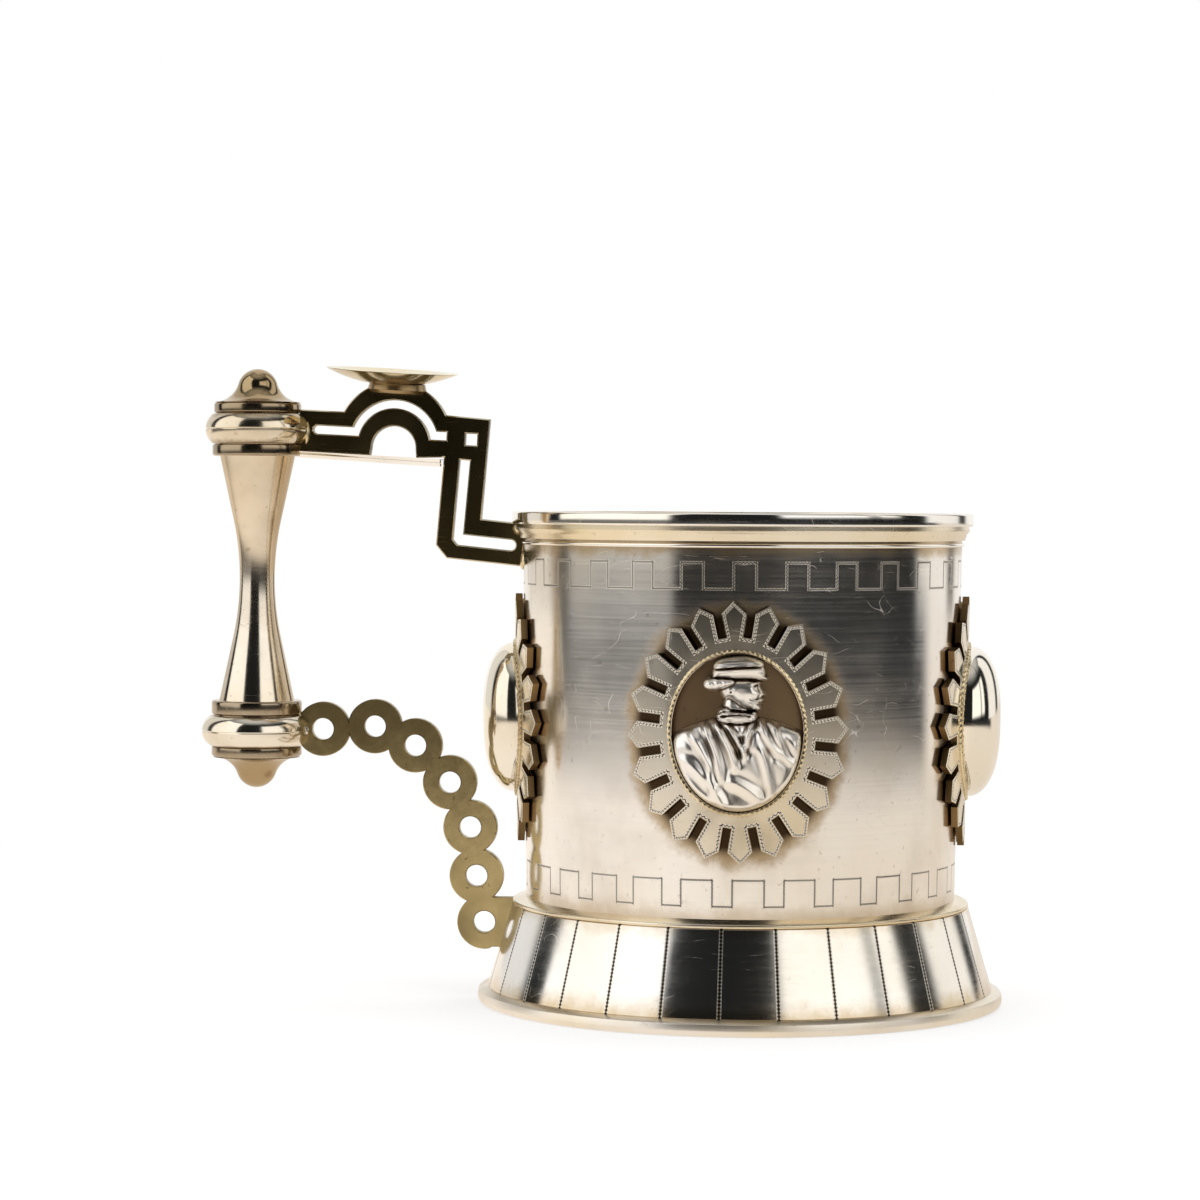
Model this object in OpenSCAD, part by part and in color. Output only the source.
// Podstakannik: a silver tea glass holder with a turned column handle.
// Millimetres, +Z up. The origin is the centre of the foot's resting plane.
// The handle points to -X and the portrait medallion faces -Y.

/* [Glass cylinder] */
// Radius of the bore that takes the tea glass
bore_r = 34.4; // [32:0.1:36]
// Thickness of the wall at its foot
wall_base = 0.8; // [0.6:0.1:1.4]
// Extra thickness that the wall gains by the mouth
wall_gain = 0.8; // [0.2:0.1:1.4]
// Height of the cylinder above its seat on the foot
body_h = 63.1; // [50:0.1:80]

/* [Rim mouldings] */
// Height of the flat band round the mouth
band_h = 2.05; // [1.2:0.05:3]
// How far the band stands out of the wall
band_out = 1.85; // [1:0.05:3]
// Radius of the rounding on the band's edges
band_round = 0.35; // [0.1:0.05:0.6]
// Height of the groove under the band
groove_h = 0.65; // [0.3:0.05:1]
// How far the groove's floor stands out of the wall
groove_out = 1.15; // [0.6:0.05:1.3]
// Height of the sloping cove
cove_h = 1.65; // [1:0.05:2.5]
// How far the cove's upper edge stands out of the wall
cove_out = 1.35; // [0.8:0.05:1.8]
// How far the cove's lower edge stands out of the wall
cove_foot_out = 0.5; // [0.3:0.05:0.7]
// Plain gap between the cove and the bead
bead_gap = 0.35; // [0.2:0.05:0.8]
// Radius of the half round bead
bead_r = 0.34; // [0.2:0.02:0.6]

/* [Foot] */
// Height of the whole foot
foot_h = 17.3; // [14:0.1:24]
// Thickness of the base plate under the cylinder
base_t = 1.3; // [1:0.1:2.5]
// Depth of the shallow seat for the glass in the base plate
seat_drop = 0.2; // [0.1:0.05:0.5]
// How far the seat's edge lies inside the bore
seat_rim = 0.12; // [0.1:0.02:0.6]
// How far the base plate's lip stands out of the wall
lip_out = 2.25; // [1.5:0.05:3.5]
// Drop of the lip's sloping shoulder
lip_drop = 0.6; // [0.3:0.05:1]
// Radius of the rounding on the lip
lip_round = 0.3; // [0.1:0.05:0.5]
// Radius of the skirt where it meets the ring
skirt_base_r = 41.4; // [39:0.1:46]
// Thickness of the skirt
skirt_t = 1; // [0.7:0.1:1.6]
// Height of the ring under the skirt
ring_h = 2.5; // [1.8:0.1:4]
// How far the ring stands out of the skirt
ring_out = 1.7; // [1:0.1:2.6]
// Radius of the ring's rounded outer face
ring_round = 0.95; // [0.5:0.05:1.2]
// Width of the ring's section
ring_w = 2.9; // [2:0.1:4]

/* [Medallions] */
// Height of the medallions' centre above the cylinder's foot
medal_h = 29.1; // [25:0.1:34]
// Half width of a ray plate over its points, measured round the curve
rays_a = 18; // [16:0.1:19]
// Half height of a ray plate over its points
rays_b = 20.45; // [18:0.1:21.5]
// Number of rays
ray_count = 20; // [16:2:24]
// Height of the gable at a ray's end
gable_h = 1.95; // [1:0.05:2.5]
// Length of the slots between the rays
slot_len = 3.65; // [2.5:0.05:4.2]
// Width of the slots between the rays
slot_w = 1.5; // [1:0.05:1.8]
// Thickness of a ray plate
rays_t = 1.15; // [0.8:0.05:1.6]
// Half width of the oval window, measured round the curve
oval_a = 10.4; // [9:0.1:11]
// Half height of the oval window
oval_b = 12.35; // [11:0.05:13]
// Width of the corded bezel
bezel_w = 0.72; // [0.4:0.02:1]
// How far the bezel stands out of the ray plate
bezel_out = 0.35; // [0.2:0.05:0.8]
// Height of the bosses above the wall
boss_h = 6.9; // [4:0.1:9]
// Tilt of the portrait medallion
portrait_tilt = 1.75; // [0:0.05:3]
// Thickness of the sunk ground behind the portrait
ground_t = 0.45; // [0.3:0.05:0.8]

/* [Column] */
// Distance from the cylinder's axis to the column's axis
column_x = 80.3; // [74:0.1:90]
// Length of the column between its capitals
column_len = 40.4; // [34:0.1:46]
// Radius at the column's ends
column_end_r = 6.2; // [5:0.1:7.5]
// Radius at the waist
waist_r = 2.9; // [2.2:0.1:4]
// Radius of the arc that forms the waist
waist_arc = 45.8; // [30:0.1:60]
// Half length of the waist's arc
waist_half = 9.5; // [7:0.1:12]

/* [Capitals] */
// Radius of the torus on the upper capital
upper_torus_r = 8.63; // [8:0.01:10]
// Height of the torus on the upper capital
upper_torus_h = 4.9; // [4:0.1:6]
// Radius of that torus's rounded face
upper_torus_arc = 3.1; // [2.6:0.1:4]
// Radius of the torus on the lower capital
lower_torus_r = 9.08; // [8:0.01:10]
// Height of the torus on the lower capital
lower_torus_h = 5.1; // [4:0.1:6]
// Radius of that torus's rounded face
lower_torus_arc = 2.85; // [2.5:0.05:4]
// Radius of the bands next to the toruses
collar_r = 7.45; // [7:0.05:7.9]
// Radius of the upper capital's top band
crown_r = 7.2; // [6.8:0.05:7.6]
// Height of the collar at the column's upper end
upper_collar_h = 2.05; // [1.5:0.05:3]
// Height of the crown band over the upper torus
crown_h = 1.85; // [1.5:0.05:3]
// Height of the collar at the column's lower end
lower_collar_h = 2.5; // [1.5:0.05:3]
// Height of the heel band under the lower torus
heel_h = 1.7; // [1.5:0.05:3]
// Rounding of the bands' free edges
collar_round = 0.4; // [0.2:0.05:0.7]
// Radius of a finial's dome
finial_r = 3.33; // [2.8:0.05:4]
// Height of the upper finial
upper_finial_h = 5.6; // [5:0.1:7]
// Height of the lower finial
lower_finial_h = 5.2; // [5:0.1:7]
// Radius of the hollow sweep of a finial's foot
finial_sweep = 4.2; // [3.6:0.1:5]
// Height of the thin lip under the sweep
finial_lip = 0.12; // [0.1:0.02:0.4]

/* [Fret bracket] */
// Thickness of the pierced plate
fret_t = 2.2; // [1.6:0.1:3]
// Height of the upper part
fret_h = 6.95; // [6.5:0.05:7.5]
// Slope of the upper part
fret_tilt = -2.7; // [-4:0.1:0]
// Width of the bar above the long slot
fret_bar = 2.5; // [2:0.05:3]
// Width of the long slot
fret_slot = 1.35; // [1:0.05:1.8]
// Outer radius of the arch
arch_r = 9.5; // [9:0.05:10.5]
// Depth of the flat on the arch that seats the thumb rest
arch_flat = 0.45; // [0.2:0.05:0.8]
// Outer radius of the arched slot
arch_slot_r = 7.35; // [6.8:0.05:7.6]
// Width of the arched slot
arch_slot_w = 1.3; // [1:0.05:1.6]
// Radius of the half round opening
arch_hole_r = 3.65; // [3:0.05:4.4]
// Size of the square piercing
square_w = 1.9; // [1.4:0.05:2.4]
// Width of the leg
leg_w = 7.1; // [6.4:0.05:8]
// Slope of the leg
leg_tilt = -4.9; // [-6:0.1:-2]
// Length of the leg down to the arm
leg_len = 16.5; // [14:0.1:19]
// Width of the leg's outer bar
leg_bar = 2.75; // [2.2:0.05:3.2]
// Width of the slot in the leg
leg_slot = 1.65; // [1.2:0.05:2]
// Slope of the arm
arm_tilt = -5.8; // [-8:0.1:-3]
// How far the elbow stands off the wall at the mouth
arm_len = 7; // [4.5:0.05:8]
// How far the elbow lies below the mouth
arm_drop = 1.35; // [0.8:0.05:2]
// Height of the arm
arm_h = 7.05; // [6.4:0.05:8]
// Width of the arm's upper bar
arm_bar = 2.89; // [2.3:0.05:3.4]
// Width of the slot in the arm
arm_slot = 1.75; // [1.3:0.05:2.1]
// Size of the bevel across the elbow
elbow_cut = 2.1; // [1:0.1:3]
// Width of the half round finger bar
finger_w = 4.4; // [3:0.1:6]
// Depth of the half round finger bar
finger_h = 1.35; // [1:0.05:2.1]
// Length of the finger bar
finger_len = 22.4; // [20:0.1:23]
// Slope of the finger bar against the bracket's lower edge
finger_tilt = 0.9; // [0:0.1:1.6]

/* [Thumb rest] */
// Radius of the thumb dish
dish_r = 11.05; // [9:0.05:12]
// Height of the dish from its neck to its rim
dish_h = 2.1; // [1.4:0.1:3]
// Thickness of the dish
dish_t = 0.75; // [0.5:0.05:1]
// Slope of the dish along the handle
dish_tilt = 3.3; // [0:0.1:5]
// Slope of the dish across the handle
dish_lean = 3.5; // [0:0.1:5]
// How far the dish sits off its neck, away from the cylinder
dish_shift = 1; // [0:0.1:1.5]
// Radius of the dish's neck
neck_r = 4.85; // [4:0.05:5.5]
// Height of the dish's neck
neck_h = 1.35; // [1:0.05:2]

/* [Ring strap] */
// Thickness of the strap
strap_t = 2.2; // [1.6:0.1:3]
// Radius of a ring's hole
ring_hole_r = 1.8; // [1.4:0.05:2.2]
// How far the two rings that lie furthest apart reach into each other
ring_lap = 0.28; // [0.2:0.02:0.8]
// How far the first ring's hole stands off the lower capital
strap_root = 0.28; // [0.1:0.01:0.8]
// How far the first ring's centre lies above the middle of the torus
strap_rise = 0.36; // [0:0.02:1.5]
// How far the last ring's centre lies below the top of the skirt
strap_end_drop = 3.53; // [2:0.01:5]
// How far the last ring's centre lies outside the skirt
strap_gap = 3.7; // [3:0.1:4]

/* [Portrait] */
// Radius of the head
head_r = 2.9; // [2.4:0.1:3.4]
// Radius of the cap's rolled band
cap_r = 3.5; // [3:0.1:4]
// Height of the cap above its band
cap_h = 2.3; // [1.6:0.1:3]
// Half width of the shoulders
shoulder_w = 9.4; // [8:0.1:9.6]
// Depth of the chest above the ground
chest_d = 3.6; // [2.5:0.1:4.5]

/* [Hidden] */
$fn = 96;
// Overrun of the cutting tools
over = 1;
// Solder joint between curved faces
seam = 0.1;
// Stand-off of the ray plates from the wall
rays_gap = 0.3;
// Wall radii and levels
wall_r = bore_r + wall_base;
mouth_r = wall_r + wall_gain;
body_z = foot_h;
mouth_z = body_z + body_h;
band_z = mouth_z - band_h;
groove_z = band_z - groove_h;
cove_z = groove_z - cove_h;
bead_z = cove_z - bead_gap - bead_r;
medal_z = body_z + medal_h;
taper_h = bead_z - bead_r - body_z;
function wall_at(z) = wall_r + wall_gain * min(z - body_z, taper_h) / taper_h;

// Foot levels
base_z = body_z - base_t;
lip_r = wall_r + lip_out;
seat_r = bore_r - seat_rim;
skirt_top_r = lip_r;
skirt_h = base_z - ring_h;
skirt_slope = (skirt_base_r - skirt_top_r) / skirt_h;
function skirt_at(z) = skirt_top_r + (base_z - z) * skirt_slope;
ring_top_r = skirt_base_r + ring_out;
ring_arris_shares = [0.05, 0.8];

// Medallion levels
medal_r = wall_at(medal_z) + rays_gap;
face_r = medal_r + rays_t;
root_a = rays_a - gable_h - slot_len;
root_b = rays_b - gable_h - slot_len;
ray_step = 360 / ray_count;
// How deep the outline dips between two rays, as a share of the gable's height
gable_dip_share = 1.15;
// Height of a boss's upright side, as a share of the boss's height
boss_side_share = 0.27;
// Powers of the boss's rounded profile
boss_power = 2.7;
boss_rings = 12;
boss_sides = 56;

// Corners of the bracket: the elbow hangs on the rim, the rest is set out from it
elbow = [-mouth_r - arm_len, mouth_z - arm_drop];
corner = elbow + leg_len * [-sin(leg_tilt), cos(leg_tilt)];
fret_x = column_x - upper_torus_r;
fret_len = (fret_x + corner[0]) / cos(fret_tilt);
fret_z = corner[1] - fret_len * sin(fret_tilt);
fret_rise_share = 0.39;
fret_root = upper_torus_r - crown_r + over;
arm_reach = (arm_len + wall_gain + over) / cos(arm_tilt);

// Shares of the bracket's own sizes that place its arch and its piercings
fret_slot_share = 0.13;
arch_x_share = 0.477;
arch_y_shares = [0.594, 0.722, 0.806];
square_shares = [0.42, 0.05];
leg_slot_share = 0.43;
fret_slot_x = fret_slot_share * leg_w;
arch_x = arch_x_share * fret_len;
arch_y = -arch_y_shares[0] * fret_h;
arch_slot_y = -arch_y_shares[1] * fret_h;
arch_hole_y = -arch_y_shares[2] * fret_h;
arch_top_y = arch_y + arch_r - arch_flat;
dish_gap = 2 * seam;
square_x = fret_len - square_shares[0] * leg_w;
square_y = -fret_bar - fret_slot / 2 - square_shares[1] * fret_h;
leg_slot_y = leg_slot_share * leg_len;

// Column, capitals and finials, from the bracket down
crown_z = fret_z - fret_rise_share * crown_h;
finial_top_z = crown_z + crown_h;
upper_torus_z = crown_z - upper_torus_h / 2;
upper_z = crown_z - upper_torus_h - upper_collar_h;
column_z = upper_z - column_len;
lower_torus_z = column_z - lower_collar_h - lower_torus_h / 2;
heel_z = column_z - lower_collar_h - lower_torus_h;
lower_end_z = heel_z - heel_h;
finial_foot_r = crown_r - collar_round;

// Centres of the strap's rings, as shares of its reach and of its drop
strap_shares = [[0, 0], [0.321, 0.016], [0.57, -0.082], [0.784, -0.273],
                [0.911, -0.506], [0.951, -0.759], [1, -1]];
strap_z = base_z - strap_end_drop;
strap_end_x = skirt_at(strap_z) + strap_gap;
strap_reach = column_x - lower_torus_r - ring_hole_r - strap_root - strap_end_x;
strap_drop = lower_torus_z + strap_rise - strap_z;
function ring_centre(share) = [-strap_end_x - strap_reach * (1 - share[0]),
                               strap_z + strap_drop * (1 + share[1])];
ring_r = max([for (i = [1 : len(strap_shares) - 1])
    norm(ring_centre(strap_shares[i]) - ring_centre(strap_shares[i - 1]))]) / 2 + ring_lap / 2;
strap_tab_share = 1.86;
strap_tab_h = strap_tab_share * ring_r;
strap_tab_len = strap_gap + strap_tab_h;

// Cylinder that takes the glass, tapered outside and true inside.
module body_shell() {
    color("silver")
    rotate_extrude()
    polygon([[bore_r, body_z], [wall_r, body_z], [mouth_r, body_z + taper_h],
             [mouth_r, mouth_z], [bore_r, mouth_z]]);
}

// Solid of the wall's outer shape, used to seat what is soldered to it.
module wall_solid() {
    rotate_extrude()
    polygon([[0, body_z], [wall_r, body_z], [mouth_r, body_z + taper_h],
             [mouth_r, mouth_z], [0, mouth_z]]);
}

// Square bar section with rounded outer corners, from x0 to x1 and from y0 to y1.
module rounded_section(x0, x1, y0, y1, r) {
    translate([x0, y0]) square([x1 - x0 - r, y1 - y0]);
    translate([x0, y0 + r]) square([x1 - x0, y1 - y0 - 2 * r]);
    for (y = [y0 + r, y1 - r]) translate([x1 - r, y]) circle(r = r);
}

module rim_band() {
    color("gainsboro")
    rotate_extrude()
    rounded_section(mouth_r, mouth_r + band_out, band_z, mouth_z, band_round);
}

module rim_cove() {
    color("darkkhaki")
    rotate_extrude()
    polygon([[mouth_r, cove_z], [mouth_r + cove_foot_out, cove_z], [mouth_r + cove_out, groove_z],
             [mouth_r + groove_out, groove_z], [mouth_r + groove_out, band_z], [mouth_r, band_z]]);
}

module rim_bead() {
    color("gainsboro")
    rotate_extrude()
    intersection() {
        translate([mouth_r, bead_z]) circle(r = bead_r);
        translate([mouth_r, bead_z - bead_r]) square([bead_r, 2 * bead_r]);
    }
}

// Floor of the holder, with a sloping lip round the wall's foot.
module base_plate() {
    color("burlywood")
    rotate_extrude() {
        polygon([[0, base_z], [lip_r - lip_round, base_z], [lip_r, base_z + lip_round],
                 [lip_r, body_z - lip_drop - lip_round], [lip_r - lip_round, body_z - lip_drop],
                 [wall_r, body_z], [seat_r, body_z], [seat_r, body_z - seat_drop],
                 [0, body_z - seat_drop]]);
    }
}

module skirt_section() {
    polygon([[skirt_top_r - skirt_t, base_z], [skirt_top_r, base_z],
             [skirt_base_r, ring_h], [skirt_base_r - skirt_t, ring_h]]);
}

module foot_skirt() {
    color("silver")
    rotate_extrude() skirt_section();
}

module foot_ring() {
    color("lightgray")
    rotate_extrude() {
        translate([ring_top_r - ring_w, 0]) square([ring_w - ring_round, ring_h * ring_arris_shares[1]]);
        translate([ring_top_r - ring_round, ring_round]) circle(r = ring_round);
        polygon([[ring_top_r - ring_w, ring_round], [ring_top_r, ring_round],
                 [ring_top_r - ring_w * ring_arris_shares[0], ring_h * ring_arris_shares[1]],
                 [skirt_base_r, ring_h],
                 [ring_top_r - ring_w, ring_h]]);
    }
}

// Solid of the foot's outer shape, used to seat the strap.
module foot_solid() {
    rotate_extrude()
    polygon([[0, 0], [ring_top_r, 0], [ring_top_r, ring_h], [skirt_base_r, ring_h],
             [skirt_top_r, base_z], [lip_r, body_z - lip_drop], [wall_r, body_z], [0, body_z]]);
}

// A point on the medallion's flat drawing, s round the curve and t up, as seen from the front.
function wrap(s, r) = r * sin(s / r * 180 / PI);
function bend(p, r) = [wrap(p[0], r), p[1]];
function oval_point(a, b, u) = [a * sin(u), b * cos(u)];
function oval(a, b, r, n) = [for (i = [0 : n - 1]) bend(oval_point(a, b, 360 * i / n), r)];

// The four corners of one slot, which runs along the oval's normal at angle u.
function slot_points(u) =
    let (p = oval_point(root_a, root_b, u),
         q = [sin(u) / root_a, cos(u) / root_b],
         n = q / norm(q),
         w = [n[1], -n[0]] * slot_w / 2,
         e = n * (slot_len + gable_h + over))
    [p - w, p + w, p + w + e, p - w + e];

// Gabled outline: a point at each ray's middle and a dip at each slot.
function gable_points() =
    [for (i = [0 : 2 * ray_count - 1])
        let (dip = i % 2 == 0 ? 0 : gable_h * gable_dip_share)
        bend(oval_point(rays_a - dip, rays_b - dip, ray_step * i / 2), face_r)];

// Band of the wall's own taper, from r0 to r1 above the wall at the medallion's height.
module wall_layer(out0, out1) {
    low = medal_z - rays_b - over;
    high = medal_z + rays_b + over;
    bend_z = body_z + taper_h;
    up = bend_z < high ? [low, bend_z, high] : [low, high];
    down = [for (i = [len(up) - 1 : -1 : 0]) up[i]];
    rotate_extrude()
    polygon(concat([for (z = down) [wall_at(z) + out0, z]], [for (z = up) [wall_at(z) + out1, z]]));
}

// Turns a drawing to the front, and then a quarter turn for each next side.
module on_side(quarter, tilt) {
    rotate([0, 0, -90 * quarter])
    translate([0, 0, medal_z])
    rotate([90, 0, 0])
    rotate([0, 0, tilt])
    linear_extrude(height = face_r + boss_h) children();
}

module ray_plate(quarter, tilt = 0) {
    intersection() {
        wall_layer(rays_gap, rays_gap + rays_t);
        on_side(quarter, tilt)
        difference() {
            polygon(gable_points());
            for (i = [0 : ray_count - 1])
                polygon([for (p = slot_points(ray_step * (i + 0.5))) bend(p, face_r)]);
            polygon(oval(oval_a, oval_b, face_r, boss_sides));
        }
    }
}

module bezel(quarter, tilt = 0) {
    intersection() {
        wall_layer(rays_gap + rays_t, rays_gap + rays_t + bezel_out);
        on_side(quarter, tilt)
        difference() {
            polygon(oval(oval_a + bezel_w, oval_b + bezel_w, face_r, boss_sides));
            polygon(oval(oval_a, oval_b, face_r, boss_sides));
        }
    }
}

module front_rays() { color("tan") ray_plate(0, portrait_tilt); }
module left_rays() { color("tan") ray_plate(1); }
module back_rays() { color("tan") ray_plate(2); }
module right_rays() { color("tan") ray_plate(3); }
module front_bezel() { color("khaki") bezel(0, portrait_tilt); }
module left_bezel() { color("khaki") bezel(1); }
module back_bezel() { color("khaki") bezel(2); }
module right_bezel() { color("khaki") bezel(3); }

// One ring of a boss: k is the share of the oval, h the height above the wall.
function boss_ring(k, h) =
    [for (i = [0 : boss_sides - 1])
        let (p = oval_point((oval_a - seam) * k, (oval_b - seam) * k, 360 * i / boss_sides),
             z = medal_z + p[1], r = wall_at(z) + h, turn = p[0] / face_r * 180 / PI)
        [r * sin(turn), -r * cos(turn), z]];
function dome_share(k) = pow(1 - pow(k, boss_power), 1 / 2);
function boss_rows() = concat(
    [[1, seam], [1, boss_h * boss_side_share]],
    [for (j = [1 : boss_rings - 1])
        let (k = cos(90 * j / boss_rings))
        [k, boss_h * (boss_side_share + (1 - boss_side_share) * dome_share(k))]]);

// Pillow shaped boss that fills a ray plate's window and follows the wall behind.
module boss(quarter) {
    rows = boss_rows();
    points = concat(
        [for (row = rows) each boss_ring(row[0], row[1])],
        [boss_ring(0, seam)[0], boss_ring(0, boss_h)[0]]);
    low = len(rows) * boss_sides;
    last = (len(rows) - 1) * boss_sides;
    rotate([0, 0, -90 * quarter])
    polyhedron(points = points, faces = concat(
        [for (j = [0 : len(rows) - 2], i = [0 : boss_sides - 1])
            let (n = (i + 1) % boss_sides, a = j * boss_sides, b = a + boss_sides)
            [a + i, a + n, b + n]],
        [for (j = [0 : len(rows) - 2], i = [0 : boss_sides - 1])
            let (n = (i + 1) % boss_sides, a = j * boss_sides, b = a + boss_sides)
            [a + i, b + n, b + i]],
        [for (i = [0 : boss_sides - 1]) [low, (i + 1) % boss_sides, i]],
        [for (i = [0 : boss_sides - 1]) [low + 1, last + i, last + (i + 1) % boss_sides]]));
}

module left_boss() { color("whitesmoke") boss(1); }
module back_boss() { color("whitesmoke") boss(2); }
module right_boss() { color("whitesmoke") boss(3); }

// Sunk oval ground behind the portrait.
module portrait_ground() {
    color("saddlebrown")
    intersection() {
        wall_layer(0, ground_t);
        on_side(0, portrait_tilt) polygon(oval(oval_a, oval_b, face_r, boss_sides));
    }
}

// Half length figure in relief: cap, head, neck and draped shoulders cut by the oval.
module portrait_bust() {
    ground_r = wall_at(medal_z) + ground_t;
    neck_z = medal_z + 0.1 * oval_b;
    head_z = medal_z + 0.42 * oval_b;
    head_x = 0.1 * oval_a;
    cap_z = head_z + 0.5 * head_r;
    color("lightsteelblue")
    intersection() {
        difference() {
            union() {
                translate([head_x, -ground_r - 0.35 * head_r, head_z]) sphere(r = head_r);
                translate([head_x, -ground_r - 0.3 * head_r, cap_z])
                    cylinder(r = cap_r, h = 0.4 * cap_h);
                translate([head_x, -ground_r - 0.3 * head_r, cap_z])
                    cylinder(r = 0.85 * cap_r, h = cap_h);
                translate([head_x / 2, -ground_r - 0.2 * head_r, neck_z - head_r])
                    cylinder(r = 0.62 * head_r, h = head_z - neck_z + head_r);
                hull() {
                    translate([0, -ground_r, neck_z]) sphere(r = 0.6 * head_r, $fn = 24);
                    translate([0, -ground_r - chest_d + head_r, medal_z - 0.3 * oval_b])
                        sphere(r = head_r, $fn = 24);
                    for (side = [-1, 1]) {
                        translate([side * (shoulder_w - 0.8 * head_r), -ground_r + 0.3 * head_r,
                                   neck_z - 1.1 * head_r])
                        sphere(r = 0.8 * head_r, $fn = 24);
                        translate([side * 0.6 * shoulder_w, -ground_r - 0.4 * chest_d + head_r,
                                   medal_z - oval_b])
                        sphere(r = head_r, $fn = 24);
                    }
                }
            }
            rotate_extrude()
            polygon([[0, body_z], [wall_at(body_z) + ground_t, body_z],
                     [wall_at(mouth_z) + ground_t, body_z + taper_h],
                     [wall_at(mouth_z) + ground_t, mouth_z], [0, mouth_z]]);
        }
        on_side(0, portrait_tilt)
            polygon(oval(oval_a - seam, oval_b - seam, face_r, boss_sides));
    }
}

// Hourglass column: straight cones that meet the waist's arc without a break.
module column() {
    mid = column_len / 2;
    turn_r = waist_r + waist_arc - sqrt(waist_arc * waist_arc - waist_half * waist_half);
    color("silver")
    translate([-column_x, 0, column_z])
    rotate_extrude()
    difference() {
        polygon([[0, 0], [column_end_r, 0], [turn_r, mid - waist_half],
                 [turn_r, mid + waist_half], [column_end_r, column_len], [0, column_len]]);
        translate([waist_r + waist_arc, mid]) circle(r = waist_arc, $fn = 4 * $fn);
    }
}

// Section of a torus as a round nose of radius arc, out to r, between two flat faces.
module torus_section(r, h, arc) {
    intersection() {
        translate([r - arc, 0]) circle(r = arc);
        translate([r - arc, -h / 2]) square([arc, h]);
    }
    translate([0, -h / 2]) square([r - arc, h]);
}

module upper_capital() {
    color("gainsboro")
    translate([-column_x, 0, 0])
    rotate_extrude() {
        rounded_section(0, collar_r, upper_z, upper_torus_z, collar_round);
        translate([0, upper_torus_z]) torus_section(upper_torus_r, upper_torus_h, upper_torus_arc);
        rounded_section(0, crown_r, upper_torus_z, finial_top_z, collar_round);
    }
}

module lower_capital() {
    color("gainsboro")
    translate([-column_x, 0, 0])
    rotate_extrude() {
        rounded_section(0, collar_r, lower_torus_z, column_z, collar_round);
        translate([0, lower_torus_z]) torus_section(lower_torus_r, lower_torus_h, lower_torus_arc);
        rounded_section(0, collar_r, lower_end_z, lower_torus_z, collar_round);
    }
}

// Bell shaped finial of height h, drawn with its foot at zero and its dome up.
// The sweep's circle touches the dome's circle, so the profile has no crease.
module finial(h) {
    dome_z = h - finial_r;
    sweep_z = finial_lip + finial_sweep;
    sweep_x = sqrt(pow(finial_r + finial_sweep, 2) - pow(sweep_z - dome_z, 2));
    touch_z = dome_z + (sweep_z - dome_z) * finial_r / (finial_r + finial_sweep);
    rotate_extrude() {
        intersection() {
            translate([0, dome_z]) circle(r = finial_r);
            square([finial_r, h]);
        }
        difference() {
            square([finial_foot_r, touch_z]);
            translate([sweep_x, sweep_z]) circle(r = finial_sweep);
            translate([sweep_x, finial_sweep]) square([finial_foot_r, finial_sweep]);
        }
    }
}

module upper_finial() {
    color("silver") translate([-column_x, 0, finial_top_z]) finial(upper_finial_h);
}

module lower_finial() {
    color("peru") translate([-column_x, 0, lower_end_z]) mirror([0, 0, 1]) finial(lower_finial_h);
}

// Turns a flat point by an angle and moves it to a start.
function placed(p, angle, start) =
    start + [p[0] * cos(angle) - p[1] * sin(angle), p[0] * sin(angle) + p[1] * cos(angle)];
function on_top(x, y) = placed([x, y], fret_tilt, [-fret_x, fret_z]);
function on_leg(x, y) = placed([x, y], leg_tilt, corner);
function on_arm(x, y) = placed([x, y], arm_tilt, elbow);

module fret_outline() {
    translate([-fret_x, fret_z]) rotate(fret_tilt)
    intersection() {
        translate([arch_x, arch_y]) circle(r = arch_r);
        translate([arch_x - arch_r, -fret_bar]) square([2 * arch_r, arch_top_y + fret_bar]);
    }
    polygon([on_top(-fret_root, -fret_h), on_leg(-leg_w, -fret_h),
             on_leg(-leg_w, -leg_len - arm_h + elbow_cut), on_arm(-leg_w + elbow_cut, -arm_h),
             on_arm(arm_reach, -arm_h), on_arm(arm_reach, 0), elbow, corner,
             on_top(-fret_root, 0)]);
}

module fret_piercings() {
    translate([-fret_x, fret_z]) rotate(fret_tilt) {
        difference() {
            union() {
                translate([fret_slot_x, -fret_bar - fret_slot])
                    square([fret_len - leg_w - fret_slot_x, fret_slot]);
                intersection() {
                    translate([arch_x, arch_slot_y]) circle(r = arch_slot_r);
                    translate([arch_x - arch_slot_r, -fret_bar - fret_slot])
                        square([2 * arch_slot_r, arch_slot_r]);
                }
            }
            translate([arch_x, arch_slot_y]) circle(r = arch_slot_r - arch_slot_w);
        }
        translate([arch_x, arch_hole_y]) circle(r = arch_hole_r);
        translate([arch_x - arch_hole_r, -fret_h - arch_hole_r])
            square([2 * arch_hole_r, arch_hole_r]);
        translate([square_x - square_w / 2, square_y - square_w / 2])
            square(square_w);
    }
    polygon([on_leg(-leg_bar - leg_slot, -leg_slot_y), on_leg(-leg_bar, -leg_slot_y),
             on_arm(-leg_bar, -arm_bar), on_arm(arm_reach + over, -arm_bar),
             on_arm(arm_reach + over, -arm_bar - arm_slot),
             on_arm(-leg_bar - leg_slot + arm_slot / 2, -arm_bar - arm_slot),
             on_leg(-leg_bar - leg_slot, -leg_len - arm_bar - arm_slot / 2)]);
}

module fret_plate() {
    rotate([90, 0, 0])
    linear_extrude(height = fret_t, center = true)
    difference() {
        fret_outline();
        fret_piercings();
    }
}

// Pierced bracket from the upper capital to the rim.
module fret_bracket() {
    color("darkolivegreen")
    difference() {
        fret_plate();
        upper_capital();
        wall_solid();
        rim_band();
        rim_cove();
        rim_bead();
    }
}

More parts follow.
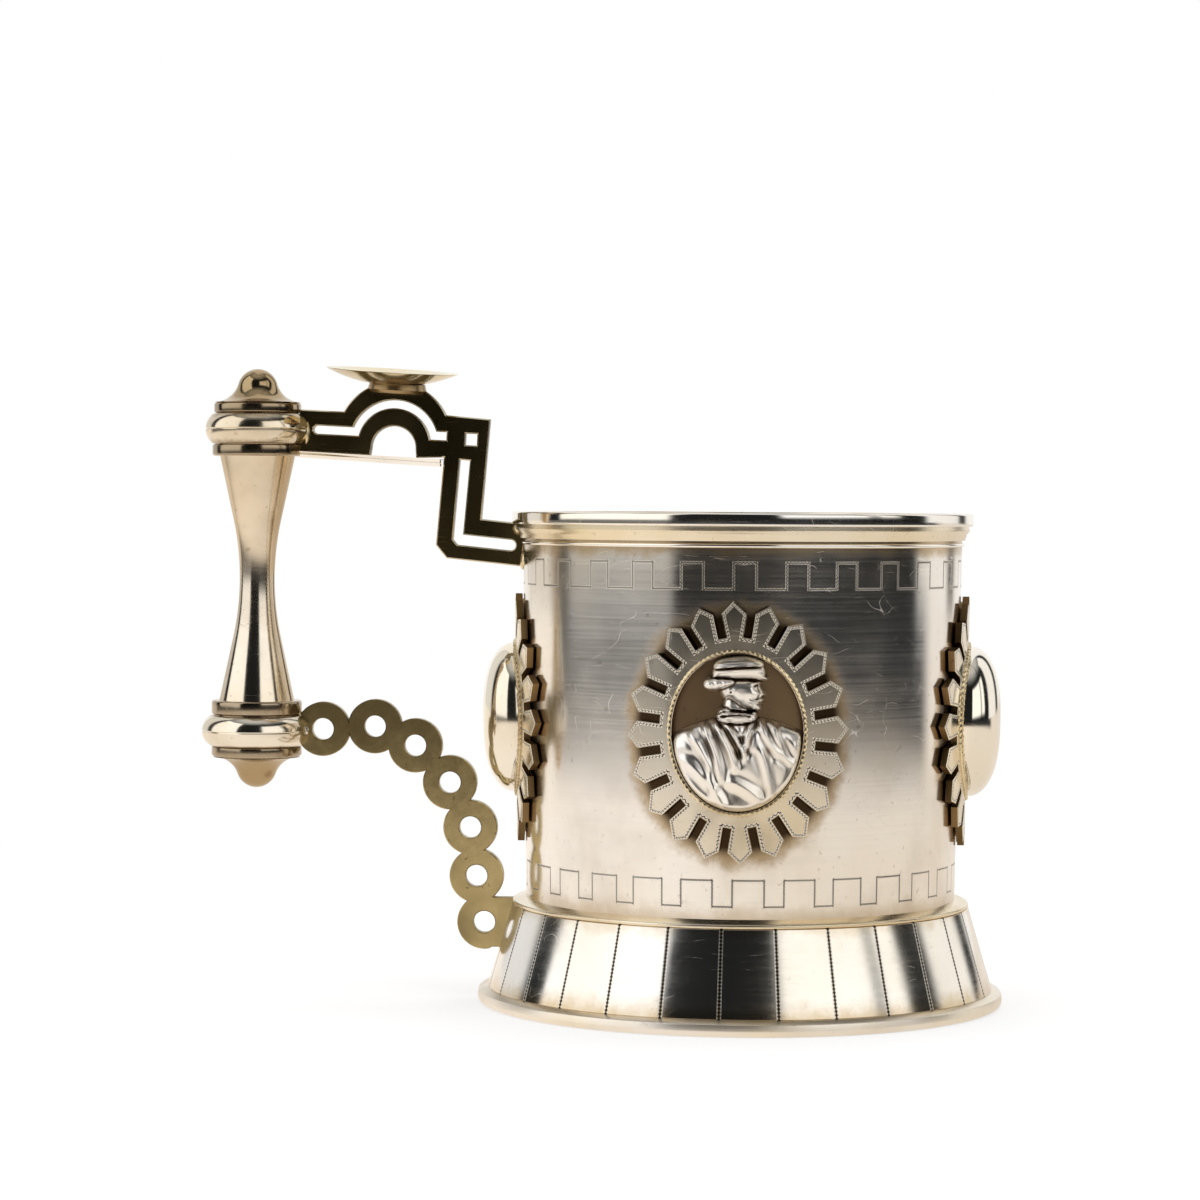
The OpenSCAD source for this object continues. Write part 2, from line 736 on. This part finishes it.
// Half round bar under the bracket, where the finger rests.
module finger_bar() {
    bar_r = (finger_w * finger_w / 4 + finger_h * finger_h) / (2 * finger_h);
    color("gainsboro")
    difference() {
        translate([-fret_x, 0, fret_z])
        rotate([0, -fret_tilt, 0])
        translate([finger_len, 0, -fret_h])
        intersection() {
            rotate([0, finger_tilt, 0])
            translate([-finger_len - fret_root, 0, 0])
            rotate([90, 0, 90])
            linear_extrude(height = finger_len + fret_root)
            intersection() {
                translate([0, bar_r - finger_h]) circle(r = bar_r);
                translate([-finger_w / 2, -finger_h]) square([finger_w, finger_h]);
            }
            translate([-finger_len - fret_root - over, -finger_w, -2 * finger_h])
                cube([finger_len + fret_root + 2 * over, 2 * finger_w, 2 * finger_h]);
        }
        upper_capital();
    }
}

// Places the thumb rest, tilted both ways, on the arch's crown.
module on_crown() {
    crown = on_top(arch_x, arch_top_y);
    translate([crown[0], 0, crown[1]])
    rotate([dish_lean, dish_tilt, 0])
    children();
}

module thumb_neck() {
    color("goldenrod")
    difference() {
        on_crown() translate([0, 0, -neck_h]) cylinder(r = neck_r, h = neck_h + dish_gap);
        fret_plate();
    }
}

// Shallow dish: a shell cut from two spheres, with a flat foot.
module thumb_dish() {
    bowl_z = (dish_r * dish_r - neck_r * neck_r + dish_h * dish_h) / (2 * dish_h);
    bowl_r = sqrt(neck_r * neck_r + bowl_z * bowl_z);
    color("whitesmoke")
    on_crown()
    translate([-dish_shift, 0, dish_gap])
    rotate_extrude()
    intersection() {
        difference() {
            union() {
                translate([0, bowl_z]) circle(r = bowl_r, $fn = 4 * $fn);
                square([neck_r, dish_t]);
            }
            translate([0, bowl_z + dish_t]) circle(r = bowl_r, $fn = 4 * $fn);
        }
        square([dish_r, 2 * dish_h]);
    }
}

// Row of overlapping rings from the lower capital to the foot.
module ring_strap() {
    color("darkgoldenrod")
    difference() {
        rotate([90, 0, 0])
        linear_extrude(height = strap_t, center = true)
        difference() {
            union() {
                for (share = strap_shares) translate(ring_centre(share)) circle(r = ring_r);
                translate([-strap_end_x, strap_z - strap_tab_h / 2])
                    square([strap_tab_len, strap_tab_h]);
            }
            for (share = strap_shares) translate(ring_centre(share)) circle(r = ring_hole_r);
        }
        lower_capital();
        foot_solid();
    }
}

body_shell();
rim_band();
rim_cove();
rim_bead();
base_plate();
foot_skirt();
foot_ring();
front_rays();
left_rays();
back_rays();
right_rays();
front_bezel();
left_bezel();
back_bezel();
right_bezel();
left_boss();
back_boss();
right_boss();
portrait_ground();
portrait_bust();
column();
upper_capital();
lower_capital();
upper_finial();
lower_finial();
fret_bracket();
finger_bar();
thumb_neck();
thumb_dish();
ring_strap();
